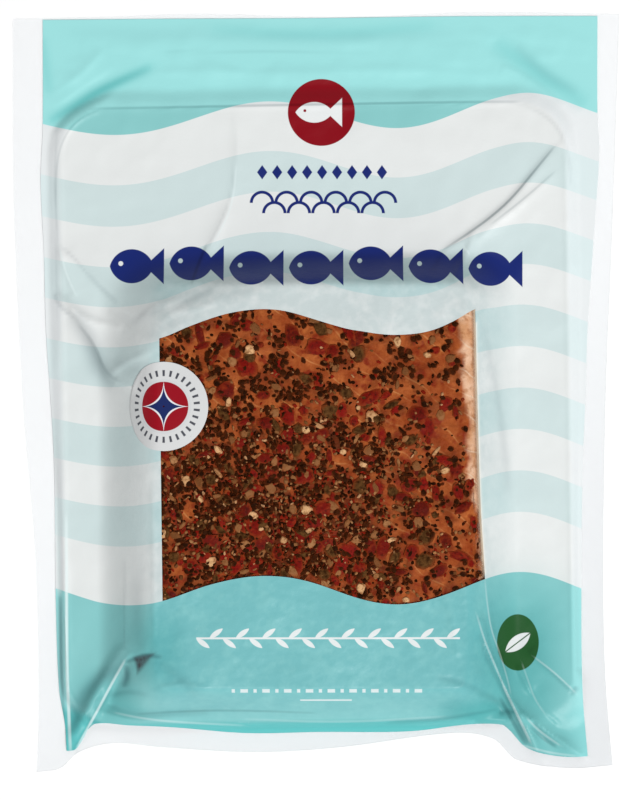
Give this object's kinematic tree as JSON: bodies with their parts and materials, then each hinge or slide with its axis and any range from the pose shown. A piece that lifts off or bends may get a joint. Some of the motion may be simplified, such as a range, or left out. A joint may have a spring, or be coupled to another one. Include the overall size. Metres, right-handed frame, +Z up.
{
  "type": "vacuum-packed hot smoked salmon fillet",
  "caption": "Hot smoked salmon fillet with a crust of cracked pepper, garlic and red pepper flakes, sealed flat in a printed vacuum pouch with a clear window.",
  "frame": {"origin": "on the surface that the pack lies on, under the middle of its outline", "axes": "+Z up out of the printed front, +Y towards the pack's top edge, +X to the right as the front is looked at"},
  "size_m": [0.1702, 0.2133, 0.0192],
  "materials": {
    "printed_film": "thin plastic film, printed on its inside in aqua and white waves, soft gloss",
    "clear_film": "clear plastic film, glossy",
    "smoked_fish": "moist smoked salmon flesh, orange brown, satin",
    "spices": "dry cracked spices pressed into the fish, matt"
  },
  "bodies": {
    "root": {"pouch": "printed_film", "fillet": "smoked_fish"}
  },
  "joints": []
}
